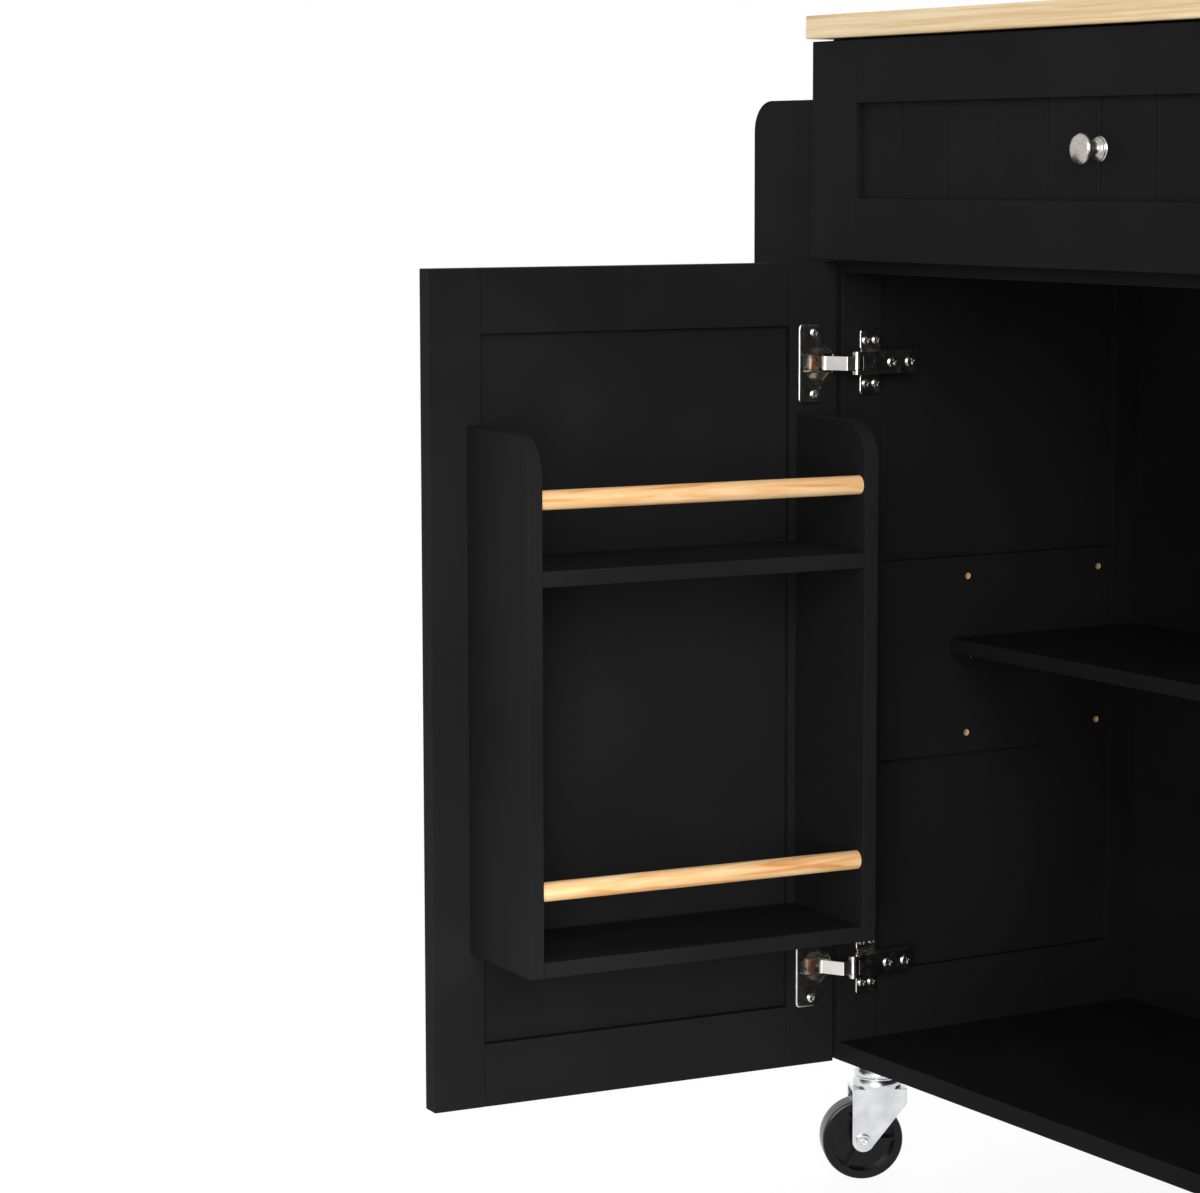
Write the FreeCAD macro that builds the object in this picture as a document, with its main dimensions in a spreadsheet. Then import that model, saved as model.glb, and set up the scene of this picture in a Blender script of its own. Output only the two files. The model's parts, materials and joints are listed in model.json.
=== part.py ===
import FreeCAD, Part
import Sketcher
import math
import os
import re

"""Kitchen island on casters: a black painted cabinet with a pale wood worktop, one beaded drawer
and two overlay doors that stand open. Millimetres, +Z up, front towards -Y.

The origin is the bottom centre of the box round the whole island as it stands, doors open.
"""

doc = FreeCAD.newDocument("kitchen_island")

# Driving dimensions: name, value in millimetres (degrees or a count where the note says so), note
driving = [
    ("total_height", 925, "floor to worktop surface"),
    ("cabinet_width", 704, "across both ends"),
    ("end_depth", 310, "front to back of an end"),
    ("board", 15, "thickness of the cabinet boards"),
    ("worktop_thickness", 18, ""),
    ("worktop_overhang", 4, "past the ends, the fronts and the back"),
    ("worktop_round", 1.5, "eased edges of the worktop"),
    ("end_stile_width", 38, "uprights of the end frames"),
    ("end_top_rail", 166, "height of the top rail of an end"),
    ("end_mid_rail", 160, "height of the middle rail of an end"),
    ("end_mid_rail_height", 240, "underside of the base to underside of the middle rail"),
    ("end_bottom_rail", 68, "height of the bottom rail of an end"),
    ("panel_thickness", 5, "loose panels of the ends"),
    ("panel_setback", 6, "inside recess of the end panels"),
    ("back_thickness", 5, "back panel"),
    ("back_setback", 7, "back panel from the rear of the ends"),
    ("stretcher_width", 60, "stretchers under the worktop"),
    ("drawer_opening", 166, "underside of the worktop to top of the divider"),
    ("shelf_thickness", 12, ""),
    ("shelf_setback", 107, "front of the cabinet to front of the shelf"),
    ("shelf_play", 1, "shelf to each end and to the back"),
    ("pin_diameter", 5, "shelf pins"),
    ("pin_length", 16, ""),
    ("pin_depth", 8, "depth of a pin hole"),
    ("pin_pitch", 64, "height between pin holes"),
    ("pin_height", 320, "underside of the base to the middle pin holes"),
    ("pin_front", 124.5, "front of the cabinet to the front pin holes"),
    ("pin_spread", 133, "front pin holes to rear pin holes"),
    ("pin_play", 0.1, "radial clearance of a pin in its hole"),
    ("front_thickness", 17, "doors and drawer front"),
    ("front_gap", 2.4, "cabinet to the back of a front, held by bumpers"),
    ("reveal", 0.5, "outer face of an end to the edge of a front"),
    ("centre_gap", 2, "between the two doors"),
    ("level_gap", 2, "between worktop, drawer front and doors"),
    ("front_panel", 6, "thickness of the beaded panels"),
    ("front_recess", 5, "face of a front to its panel"),
    ("drawer_stile", 60, ""),
    ("drawer_rail", 48, ""),
    ("door_stile", 42.5, ""),
    ("door_rail", 49, ""),
    ("bead_pitch", 59.7, "from one bead groove to the next"),
    ("bead_width", 3, "mouth of a bead groove"),
    ("bead_depth", 1.8, ""),
    ("knob_head", 22.5, "diameter of a knob"),
    ("knob_head_rise", 5, "height of the dome of a knob"),
    ("knob_neck", 9, "diameter of the neck"),
    ("knob_foot", 17, "diameter of the rosette"),
    ("knob_foot_thickness", 2.5, ""),
    ("knob_reach", 22, "panel to the crown of a knob"),
    ("door_knob_drop", 95, "top of a door to its knob"),
    ("box_board", 12, "sides and back of the drawer box"),
    ("box_height", 108, ""),
    ("box_depth", 275, ""),
    ("box_lift", 22, "divider to the underside of the drawer sides"),
    ("box_bottom", 4, "thickness of the drawer bottom"),
    ("box_bottom_lift", 9, "underside of the sides to the drawer bottom"),
    ("runner_space", 12.5, "between a drawer side and an end"),
    ("runner_sheet", 1.2, "thickness of the runner steel"),
    ("runner_height", 22, "height of the cabinet runner"),
    ("runner_length", 270, "cabinet runner"),
    ("runner_end_gap", 2.6, "end of a drawer runner to the back of the drawer box"),
    ("runner_play", 0.3, "between the moving and the fixed runner"),
    ("roller_diameter", 17, ""),
    ("roller_width", 6, ""),
    ("door_open", 93.5, "degrees from shut, the left door as it stands"),
    ("right_door_open", 118, "degrees from shut, the right door as it stands"),
    ("pivot_inset", 6.2, "edge of a door to its pivot"),
    ("pivot_depth", 8.2, "inner face of a door to its pivot"),
    ("hinge_inset", 78.5, "top or bottom of a door to a hinge"),
    ("cup_diameter", 35, ""),
    ("cup_inset", 22, "edge of a door to the centre of a cup"),
    ("cup_depth", 12, ""),
    ("cup_wall", 1.2, ""),
    ("flange_diameter", 39, ""),
    ("flange_length", 61, "height of the cup's screw plate"),
    ("flange_width", 19, ""),
    ("flange_sheet", 1.2, ""),
    ("arm_pin_in", 15, "inner face of an end to the link pin"),
    ("arm_pin_back", 4, "front of the cabinet to the link pin"),
    ("link_pin", 3, "diameter of the link pin"),
    ("link_play", 0.1, "radial clearance of the link pin"),
    ("link_eye", 4.4, "outer diameter of the link's eye"),
    ("link_width", 11, "height of a link"),
    ("link_sheet", 1.6, ""),
    ("link_knee_in", 1.74, "pin to the bend, towards the end, with the door shut"),
    ("link_knee_front", 9.85, "pin to the bend, forwards, with the door shut"),
    ("link_tip_in", 20.68, "pin to the tip, towards the end, with the door shut"),
    ("link_tip_front", 14.48, "pin to the tip, forwards, with the door shut"),
    ("link_share", 0.18, "share of the door's turn by which the link turns the other way"),
    ("ear_gap", 0.4, "link to each ear of the arm"),
    ("ear_sheet", 3, ""),
    ("ear_radius", 3.4, ""),
    ("arm_front", 9.5, "front of the cabinet to the arm's block"),
    ("arm_back", 60, "front of the cabinet to the arm's end"),
    ("arm_thickness", 11, ""),
    ("plate_thickness", 5, "mounting plate, under the arm"),
    ("plate_wing", 2.5, "thickness of its wings"),
    ("plate_length", 52, "height of the wings"),
    ("plate_width", 20, ""),
    ("plate_front", 15, "front of the cabinet to the wings"),
    ("rack_board", 12, "boards of the racks"),
    ("rack_depth", 104, "door racks, from the door"),
    ("rack_inset", 24.5, "hinge edge of a door to the rack"),
    ("rack_width", 296, ""),
    ("rack_lift", 121, "bottom of a door to the rack"),
    ("rack_height", 400, ""),
    ("rack_round", 30, "front top corners of the rack's sides"),
    ("rack_tier", 289, "from one rack shelf to the next"),
    ("dowel_diameter", 14.5, ""),
    ("dowel_lift", 51, "top of a rack shelf to the dowel's axis"),
    ("dowel_setback", 9, "front of a rack to the dowel's axis"),
    ("end_rack_projection", 112, "side rack, from the left end"),
    ("end_rack_height", 560, ""),
    ("end_rack_top", 46, "underside of the worktop to the side rack"),
    ("end_rack_tier", 180, "from one shelf of the side rack to the next"),
    ("end_rack_round", 24, ""),
    ("caster_height", 96, "floor to underside of the base"),
    ("caster_inset", 29, "outer faces to a caster's axis"),
    ("swivel_angle", 64, "degrees, heading of the front left caster"),
    ("swivel_angle_front_right", 35, "degrees"),
    ("swivel_angle_rear_left", 110, "degrees"),
    ("swivel_angle_rear_right", 80, "degrees"),
    ("trail", 13, "swivel axis to wheel axle"),
    ("wheel_diameter", 65, ""),
    ("wheel_width", 22, ""),
    ("wheel_rim", 7, "tread to the recessed web"),
    ("wheel_web", 8, "thickness of the web"),
    ("wheel_hub", 16, "diameter of the hub"),
    ("wheel_groove", 1.2, "depth of the ring groove beside the rim"),
    ("wheel_edge", 2.5, "rounding of the tread"),
    ("wheel_rib", 2.2, "thickness of a rib"),
    ("wheel_ribs", 3, "count of ribs on each face"),
    ("axle_diameter", 6, ""),
    ("axle_head", 10, ""),
    ("axle_head_rise", 1.5, ""),
    ("axle_play", 0.08, "radial clearance of wheel and fork on the axle"),
    ("fork_sheet", 2, ""),
    ("fork_play", 1.5, "wheel to each fork plate"),
    ("fork_toe", 9, "radius round the axle"),
    ("fork_nose", 22, "swivel axis to the front edge of the fork"),
    ("fork_drop", 12, "height of the fork's front edge"),
    ("race_diameter", 36, ""),
    ("race_height", 9, "lower race, on the fork"),
    ("race_gap", 0.3, "between the two races"),
    ("top_race_height", 9.5, ""),
    ("caster_plate", 2.5, "thickness of the top plate"),
    ("caster_plate_width", 42, ""),
    ("kingpin_diameter", 9, ""),
    ("kingpin_head", 15, ""),
    ("kingpin_head_rise", 2, ""),
    ("kingpin_play", 0.3, ""),
    ("race_top_diameter", 30, "upper race under the plate"),
    ("edge_share", 0.29, "share of the tread's rounding at its middle"),
    ("toe_share", 0.7, "share of the toe's radius where its front edge leaves it"),
    ("foot_share", 0.7, "share of the rosette's diameter where the neck starts"),
    ("screw_head", 6.5, "diameter of the hinge screws' heads"),
    ("screw_rise", 1.6, ""),
    ("plate_screw_in", 5.5, "edge of a wing to its first screw"),
    ("plate_screw_pitch", 9.5, ""),
    ("plate_screw_height", 17, "middle of a hinge to the wing screws"),
    ("arm_screw_front", 37, "front of the cabinet to the arm's first screw"),
    ("arm_screw_pitch", 17, ""),
    ("cup_screw_height", 24, "middle of a hinge to a cup screw"),
    ("overrun", 1, "how far a cut runs past the face it opens"),
]

# Places worked out from the driving dimensions
worked_out = [
    ("half", "cabinet_width / 2"),
    ("inner_half", "half - board"),
    ("end_rack_width", "end_depth - back_setback - back_thickness"),
    ("base_z", "caster_height"),
    ("door_width", "half - reveal - centre_gap / 2"),
    ("knob_along", "door_width - door_stile / 2 - pivot_inset"),
    ("knob_out", "front_thickness - pivot_depth + knob_reach - knob_head_rise"),
    ("knob_round", "sqrt((knob_head / 2 * cos(right_door_open)) ^ 2 + (knob_head_rise * sin(right_door_open)) ^ 2)"),
    ("knob_aside", "knob_out * sin(right_door_open) - knob_along * cos(right_door_open)"),
    ("side_reach", "knob_aside + knob_round - reveal - pivot_inset"),
    ("door_reach", "sin(door_open) * (door_width - pivot_inset) - cos(door_open) * pivot_depth"),
    ("centre_x", "(end_rack_projection - side_reach) / 2"),
    ("front_y", "(front_gap + pivot_depth + door_reach - end_depth - worktop_overhang) / 2"),
    ("fronts_y", "front_y - front_gap"),
    ("inner_x", "centre_x - inner_half"),
    ("under_top", "total_height - worktop_thickness"),
    ("divider_top", "under_top - drawer_opening"),
    ("drawer_bottom_z", "divider_top - board / 2 + level_gap + level_gap / 2"),
    ("drawer_front_height", "under_top - level_gap - drawer_bottom_z"),
    ("door_height", "drawer_bottom_z - level_gap - base_z"),
    ("front_width", "cabinet_width - 2 * reveal"),
    ("drawer_panel_width", "front_width - 2 * drawer_stile"),
    ("door_panel_width", "door_width - 2 * door_stile"),
    ("drawer_grooves", "2 * floor(drawer_panel_width / 2 / bead_pitch) + 1"),
    ("door_grooves", "2 * floor(door_panel_width / 2 / bead_pitch) + 1"),
    ("box_half", "inner_half - runner_space"),
    ("box_z", "divider_top + box_lift"),
    ("back_y", "front_y + end_depth - back_setback - back_thickness"),
    ("drawer_runner_length", "box_depth - front_gap - runner_end_gap"),
    ("pivot_x", "centre_x - half + reveal + pivot_inset"),
    ("pivot_y", "fronts_y - pivot_depth"),
    ("high_hinge", "door_height - hinge_inset"),
    ("fork_top", "caster_height - caster_plate - top_race_height - race_gap - race_height"),
    ("fork_half", "wheel_width / 2 + fork_play + fork_sheet"),
    ("wheel_radius", "wheel_diameter / 2"),
]

sizes = doc.addObject("Spreadsheet::Sheet", "Sizes")
places = doc.addObject("Spreadsheet::Sheet", "Places")
owner = {}


def spell(formula):
    """Give every named size in a formula the name of its sheet."""
    return re.sub(r"[a-z]\w*", lambda word: owner.get(word.group(), word.group()), str(formula))


for row, (alias, value, note) in enumerate(driving, start=1):
    sizes.set(f"A{row}", alias.replace("_", " "))
    sizes.set(f"B{row}", str(value))
    sizes.setAlias(f"B{row}", alias)
    sizes.set(f"C{row}", note)
    owner[alias] = f"Sizes.{alias}"
doc.recompute()

for row, (alias, formula) in enumerate(worked_out, start=1):
    places.set(f"A{row}", alias.replace("_", " "))
    places.set(f"B{row}", "=" + spell(formula))
    places.setAlias(f"B{row}", alias)
    owner[alias] = f"Places.{alias}"
doc.recompute()


def value_of(alias):
    sheet, name = owner[alias].split(".")
    return float(getattr(doc.getObject(sheet), name))


finished = []


def kept(thing, label):
    """Name a finished sub-part; its label is the name of its file."""
    thing.Label = label
    finished.append(thing)
    return thing


def bind(thing, **formulas):
    for prop, formula in formulas.items():
        thing.setExpression(prop.replace("__", "."), spell(formula))


def put(thing, x="0", y="0", z="0", turn=None):
    """Place a thing, turned about the upright axis when an angle is given."""
    bind(thing, Placement__Base__x=x, Placement__Base__y=y, Placement__Base__z=z)
    if turn is not None:
        thing.Placement = FreeCAD.Placement(FreeCAD.Vector(), FreeCAD.Rotation(FreeCAD.Vector(0, 0, 1), 1))
        bind(thing, Placement__Rotation__Angle=turn)
    return thing


def block(across, deep, high, x, y, z):
    thing = doc.addObject("Part::Box", "block")
    bind(thing, Length=across, Width=deep, Height=high)
    return put(thing, x, y, z)


along = {"x": FreeCAD.Rotation(FreeCAD.Vector(0, 1, 0), 90),
         "y": FreeCAD.Rotation(FreeCAD.Vector(1, 0, 0), -90),
         "-y": FreeCAD.Rotation(FreeCAD.Vector(1, 0, 0), 90),
         "z": FreeCAD.Rotation()}


def laid(thing, axis, x, y, z):
    thing.Placement = FreeCAD.Placement(FreeCAD.Vector(), along[axis])
    bind(thing, Placement__Base__x=x, Placement__Base__y=y, Placement__Base__z=z)
    return thing


def rod(diameter, length, axis, x, y, z):
    """A round bar whose first end is at the given place."""
    thing = doc.addObject("Part::Cylinder", "rod")
    bind(thing, Radius=f"({diameter}) / 2", Height=length)
    return laid(thing, axis, x, y, z)


def cone(first, last, length, axis, x, y, z):
    thing = doc.addObject("Part::Cone", "cone")
    bind(thing, Radius1=f"({first}) / 2", Radius2=f"({last}) / 2", Height=length)
    return laid(thing, axis, x, y, z)


def group(*pieces):
    thing = doc.addObject("Part::Compound", "group")
    thing.Links = list(pieces)
    return thing


def fused(*pieces):
    thing = doc.addObject("Part::MultiFuse", "fused")
    thing.Shapes = list(pieces)
    return thing


def cut(base, *tools):
    thing = doc.addObject("Part::Cut", "cut")
    thing.Base = base
    thing.Tool = tools[0] if len(tools) == 1 else group(*tools)
    return thing


def rounded(base, radius, is_wanted):
    """Round the edges of a thing that a test on their middle and direction picks."""
    doc.recompute()
    chosen = []
    for number, edge in enumerate(base.Shape.Edges, start=1):
        middle = edge.CenterOfMass
        direction = edge.tangentAt(edge.FirstParameter)
        if is_wanted(middle, direction):
            chosen.append((number, radius, radius))
    thing = doc.addObject("Part::Fillet", "rounded")
    thing.Base = base
    thing.Edges = chosen
    return thing


def mirrored(source, label):
    """The same piece on the other side of the island's middle plane."""
    thing = doc.addObject("Part::Mirroring", "mirrored")
    thing.Source = source
    thing.Normal = FreeCAD.Vector(1, 0, 0)
    bind(thing, Base__x="centre_x")
    return kept(thing, label)


def sketch_in(body, plane, points):
    """A closed outline on one of the body's own planes; each corner is tied to the origin."""
    origin_plane = [item for item in body.Origin.OriginFeatures if item.Role == plane][0]
    sketch = body.newObject("Sketcher::SketchObject", "outline")
    sketch.AttachmentSupport = [(origin_plane, "")]
    sketch.MapMode = "FlatFace"
    rough = [FreeCAD.Vector(number, number * number, 0) for number in range(len(points))]
    for number, start in enumerate(rough):
        sketch.addGeometry(Part.LineSegment(start, rough[(number + 1) % len(rough)]))
    for number in range(len(points)):
        sketch.addConstraint(Sketcher.Constraint("Coincident", number, 2, (number + 1) % len(points), 1))
    for number, (across, up) in enumerate(points):
        for kind, formula, axis in (("DistanceX", across, -2), ("DistanceY", up, -1)):
            if formula == "0":
                sketch.addConstraint(Sketcher.Constraint("PointOnObject", number, 1, axis))
                continue
            index = sketch.addConstraint(Sketcher.Constraint(kind, -1, 1, number, 1, float(number + 1)))
            sketch.setExpression(f"Constraints[{index}]", spell(formula))
    return sketch


def slab(plane, points, thickness):
    """A plate of the given outline, half its thickness to each side of the plane."""
    body = doc.addObject("PartDesign::Body", "slab")
    sketch = sketch_in(body, plane, points)
    pad = body.newObject("PartDesign::Pad", "pad")
    pad.Profile = sketch
    pad.Midplane = True
    bind(pad, Length=thickness)
    return body


def turned(points, plane="XZ_Plane"):
    """A solid of revolution about the body's own Z axis."""
    body = doc.addObject("PartDesign::Body", "turned")
    sketch = sketch_in(body, plane, points)
    solid = body.newObject("PartDesign::Revolution", "revolution")
    solid.Profile = sketch
    solid.ReferenceAxis = (sketch, ["V_Axis"])
    solid.Angle = 360
    return body


def beaded_panel(width, height, grooves):
    """A plate with upright V grooves in its face at -Y, from its left edge at x = 0."""
    body = doc.addObject("PartDesign::Body", "panel")
    plate = sketch_in(body, "XY_Plane", [("0", "0"), (width, "0"), (width, "front_panel"), ("0", "front_panel")])
    pad = body.newObject("PartDesign::Pad", "pad")
    pad.Profile = plate
    bind(pad, Length=height)
    first = f"{width} / 2 - bead_pitch * ({grooves} - 1) / 2"
    vee = sketch_in(body, "XY_Plane", [(f"{first} - bead_width / 2", "0"), (f"{first} + bead_width / 2", "0"),
                                       (first, "bead_depth")])
    groove = body.newObject("PartDesign::Pocket", "groove")
    groove.Profile = vee
    groove.Type = "ThroughAll"
    groove.Reversed = True
    pattern = body.newObject("PartDesign::LinearPattern", "grooves")
    pattern.Originals = [groove]
    pattern.Direction = (vee, ["H_Axis"])
    pattern.Occurrences = round(value_of(grooves))
    bind(pattern, Length=f"bead_pitch * ({grooves} - 1)")
    body.Tip = pattern
    doc.recompute()
    if pattern.Shape.Volume >= pad.Shape.Volume:
        raise RuntimeError("the bead grooves cut nothing")
    return body


def knob():
    """A mushroom knob along -Y, its rosette's back at the origin."""
    foot = rod("knob_foot", "knob_foot_thickness", "-y", "0", "0", "0")
    neck = cone("knob_foot * foot_share", "knob_neck", "knob_reach - knob_head_rise", "-y", "0", "0", "0")
    dome = doc.addObject("Part::Ellipsoid", "dome")
    bind(dome, Radius1="knob_head_rise", Radius2="knob_head / 2")
    laid(dome, "-y", "0", "knob_head_rise - knob_reach", "0")
    return fused(foot, neck, dome)


# Worktop
top_half = "(half + worktop_overhang)"
top_front = "(front_gap + front_thickness + worktop_overhang)"
top_plate = block(f"2 * {top_half}", f"end_depth + {top_front} + worktop_overhang", "worktop_thickness",
                  f"centre_x - {top_half}", f"front_y - {top_front}", "under_top")
kept(rounded(top_plate, value_of("worktop_round"), lambda middle, direction: True), "worktop")

# Left end: a frame of uprights and rails round two loose panels, with holes for the shelf pins
end_x = "centre_x - half"
end_height = "under_top - base_z"
rail_length = "end_depth - 2 * end_stile_width"
rail_y = "front_y + end_stile_width"
left_end_stiles = kept(group(
    block("board", "end_stile_width", end_height, end_x, "front_y", "base_z"),
    block("board", "end_stile_width", end_height, end_x, "front_y + end_depth - end_stile_width", "base_z"),
), "left_end_stiles")
mid_rail = block("board", rail_length, "end_mid_rail", end_x, rail_y, "base_z + end_mid_rail_height")
pin_holes = [
    rod("pin_diameter + 2 * pin_play", "pin_depth + overrun", "x", "centre_x - inner_half - pin_depth",
        f"front_y + pin_front + pin_spread * {column}", f"base_z + pin_height + pin_pitch * {level}")
    for column in (0, 1) for level in (-1, 0, 1)]
left_end_rails = kept(group(
    block("board", rail_length, "end_bottom_rail", end_x, rail_y, "base_z"),
    cut(mid_rail, *pin_holes),
    block("board", rail_length, "end_top_rail", end_x, rail_y, "under_top - end_top_rail"),
), "left_end_rails")
panel_x = "centre_x - inner_half - panel_setback - panel_thickness"
mid_top = "(end_mid_rail_height + end_mid_rail)"
left_end_panels = kept(group(
    block("panel_thickness", rail_length, "end_mid_rail_height - end_bottom_rail",
          panel_x, rail_y, "base_z + end_bottom_rail"),
    block("panel_thickness", rail_length, f"{end_height} - end_top_rail - {mid_top}",
          panel_x, rail_y, f"base_z + {mid_top}"),
), "left_end_panels")
mirrored(left_end_stiles, "right_end_stiles")
mirrored(left_end_rails, "right_end_rails")
mirrored(left_end_panels, "right_end_panels")

# Boards between the ends
between = "2 * inner_half"
inside_x = "centre_x - inner_half"
inside_depth = "end_depth - back_setback - back_thickness"
kept(block(between, "back_thickness", end_height, inside_x, "back_y", "base_z"), "back_panel")
kept(block(between, inside_depth, "board", inside_x, "front_y", "base_z"), "base_board")
kept(block(between, inside_depth, "board", inside_x, "front_y", "divider_top - board"), "divider_board")
kept(group(
    block(between, "stretcher_width", "board", inside_x, "front_y", "under_top - board"),
    block(between, "stretcher_width", "board", inside_x, "back_y - stretcher_width", "under_top - board"),
), "top_stretchers")

# Shelf on four pins
kept(block("2 * (inner_half - shelf_play)", f"{inside_depth} - shelf_setback - shelf_play", "shelf_thickness",
           "centre_x - inner_half + shelf_play", "front_y + shelf_setback",
           "base_z + pin_height + pin_diameter / 2"), "shelf")
kept(group(*[
    rod("pin_diameter", "pin_length", "x",
        f"centre_x + {side} * (inner_half + pin_depth - pin_length / 2) - pin_length / 2",
        f"front_y + pin_front + pin_spread * {column}", "base_z + pin_height")
    for side in (-1, 1) for column in (0, 1)]), "shelf_pins")


def framed_front(width, height, stile, rail, x, y, z):
    """Uprights and cross rails of a framed front, from its lower left back corner."""
    uprights = [block(stile, "front_thickness", height, place, y, z) for place in (x, f"{x} + {width} - {stile}")]
    rails = [block(f"{width} - 2 * {stile}", "front_thickness", rail, f"{x} + {stile}", y, place)
             for place in (z, f"{z} + {height} - {rail}")]
    return uprights, rails


# Drawer front
front_y_place = "fronts_y - front_thickness"
uprights, rails = framed_front("front_width", "drawer_front_height", "drawer_stile", "drawer_rail",
                               "centre_x - front_width / 2", front_y_place, "drawer_bottom_z")
kept(group(*uprights, *rails), "drawer_front_frame")
drawer_panel = beaded_panel("drawer_panel_width", "drawer_front_height - 2 * drawer_rail", "drawer_grooves")
put(drawer_panel, "centre_x - drawer_panel_width / 2", "fronts_y - front_thickness + front_recess",
    "drawer_bottom_z + drawer_rail")
kept(drawer_panel, "drawer_front_panel")
kept(put(knob(), "centre_x", "fronts_y - front_thickness + front_recess",
         "drawer_bottom_z + drawer_front_height / 2"), "drawer_knob")

# Drawer box
box_y = "fronts_y"
kept(group(
    block("box_board", "box_depth", "box_height", "centre_x - box_half", box_y, "box_z"),
    block("box_board", "box_depth", "box_height", "centre_x + box_half - box_board", box_y, "box_z"),
    block("2 * (box_half - box_board)", "box_board", "box_height", "centre_x - box_half + box_board",
          f"{box_y} + box_depth - box_board", "box_z"),
), "drawer_box_boards")
kept(block("2 * (box_half - box_board)", "box_depth - box_board", "box_bottom",
           "centre_x - box_half + box_board", box_y, "box_z + box_bottom_lift"), "drawer_bottom")

# Runners: a channel with a front roller on each end, an angle with a rear roller under each drawer side
wall_x = "centre_x - inner_half"
roller_z = "(box_z - runner_sheet - runner_play - roller_diameter / 2)"
channel_z = f"({roller_z} - roller_diameter / 2 - runner_play - runner_sheet)"
lip = "(runner_space - 2 * runner_sheet - runner_play)"


def both_sides(*pieces):
    """The pieces together with their mirror images on the other side of the middle plane."""
    left = group(*pieces)
    right = doc.addObject("Part::Mirroring", "right")
    right.Source = left
    right.Normal = FreeCAD.Vector(1, 0, 0)
    bind(right, Base__x="centre_x")
    return group(left, right)


kept(both_sides(
    block("runner_sheet", "runner_length", "runner_height", wall_x, "front_y", channel_z),
    block(lip, "runner_length", "runner_sheet", wall_x, "front_y", channel_z),
    block("runner_space / 2", "runner_length", "runner_sheet", wall_x, "front_y",
          f"{channel_z} + runner_height - runner_sheet"),
), "cabinet_runners")
kept(both_sides(
    rod("roller_diameter", "roller_width", "x", f"{wall_x} + runner_sheet", "front_y + roller_diameter", roller_z),
), "cabinet_rollers")
side_x = f"{wall_x} + runner_space"
rear_y = "front_y + drawer_runner_length - roller_diameter"
kept(both_sides(
    block("runner_sheet", "drawer_runner_length", "roller_diameter", f"{side_x} - runner_sheet", "front_y",
          "box_z - runner_sheet"),
    block("runner_space - 3 * runner_sheet + box_board", "drawer_runner_length", "runner_sheet",
          f"{wall_x} + 3 * runner_sheet", "front_y", "box_z - runner_sheet"),
    block("runner_sheet", "roller_diameter", "roller_diameter / 2", f"{side_x} - runner_sheet",
          f"{rear_y} - roller_diameter / 2", roller_z),
), "drawer_runners")
kept(both_sides(
    rod("roller_diameter", "roller_width", "x", f"{side_x} - runner_sheet - roller_width", rear_y, roller_z),
), "drawer_rollers")


def rack(width, depth, height, corner, levels, tier):
    """An open rack, from its lower left corner against the face it hangs on, out towards +Y."""
    inner = f"{width} - 2 * rack_board"

    def side(x):
        return fused(block("rack_board", depth, f"{height} - {corner}", x, "0", "0"),
                     block("rack_board", f"{depth} - {corner}", height, x, "0", "0"),
                     rod(f"2 * {corner}", "rack_board", "x", x, f"{depth} - {corner}", f"{height} - {corner}"))

    sides = group(side("0"), side(f"{width} - rack_board"))
    shelves = group(*[block(inner, depth, "rack_board", "rack_board", "0", f"{tier} * {level}")
                      for level in range(levels)])
    dowels = group(*[rod("dowel_diameter", inner, "x", "rack_board", f"{depth} - dowel_setback",
                         f"{tier} * {level} + rack_board + dowel_lift") for level in range(levels)])
    return sides, shelves, dowels


# Side rack on the left end
for thing, label in zip(rack("end_rack_width", "end_rack_projection", "end_rack_height", "end_rack_round",
                             3, "end_rack_tier"),
                        ("end_rack_sides", "end_rack_shelves", "end_rack_dowels")):
    kept(put(thing, "centre_x - half", "front_y", "under_top - end_rack_top - end_rack_height", "90"), label)

# A door, built round its hinge axis as if shut, then turned open; the right one is a mirror image, and
# only the left one carries a rack
door_back = "pivot_depth"
door_front = "pivot_depth - front_thickness"
hinge_heights = ["hinge_inset", "high_hinge"]
uprights, rails = framed_front("door_width", "door_height", "door_stile", "door_rail",
                               "-pivot_inset", door_front, "0")
uprights[0] = cut(uprights[0], *[rod("cup_diameter", "cup_depth + overrun", "y", "cup_inset - pivot_inset",
                                     "pivot_depth - cup_depth", height) for height in hinge_heights])
panel = beaded_panel("door_panel_width", "door_height - 2 * door_rail", "door_grooves")
put(panel, "door_stile - pivot_inset", f"{door_front} + front_recess", "door_rail")
door_knob = put(knob(), "knob_along", door_front, "door_height - door_knob_drop")
side_boards, shelf_boards, dowels = [
    put(thing, "rack_inset - pivot_inset", door_back, "rack_lift")
    for thing in rack("rack_width", "rack_depth", "rack_height", "rack_round", 2, "rack_tier")]
cup_x = "cup_inset - pivot_inset"
cups = [cut(fused(rod("cup_diameter", "cup_depth", "y", cup_x, "pivot_depth - cup_depth", height),
                  rod("flange_diameter", "flange_sheet", "y", cup_x, door_back, height),
                  block("flange_width", "flange_sheet", "flange_length", f"{cup_x} - flange_width / 2",
                        door_back, f"{height} - flange_length / 2")),
            rod("cup_diameter - 2 * cup_wall", "cup_depth + flange_sheet + overrun", "y", cup_x,
                "pivot_depth - cup_depth + cup_wall", height))
        for height in hinge_heights]
cup_screws = [rod("screw_head", "screw_rise", "y", cup_x, f"{door_back} + flange_sheet",
                  f"{height} + {way} * cup_screw_height") for height in hinge_heights for way in (-1, 1)]
for pieces, label in (([*uprights], "door_stiles"), ([*rails], "door_rails"), ([panel], "door_panel"),
                      ([door_knob], "door_knob"), (cups, "hinge_cups"), (cup_screws, "cup_screws")):
    kept(put(group(*pieces), "pivot_x", "pivot_y", "base_z", "-door_open"), f"left_{label}")
    mirrored(put(group(*pieces), "pivot_x", "pivot_y", "base_z", "-right_door_open"), f"right_{label}")
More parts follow.
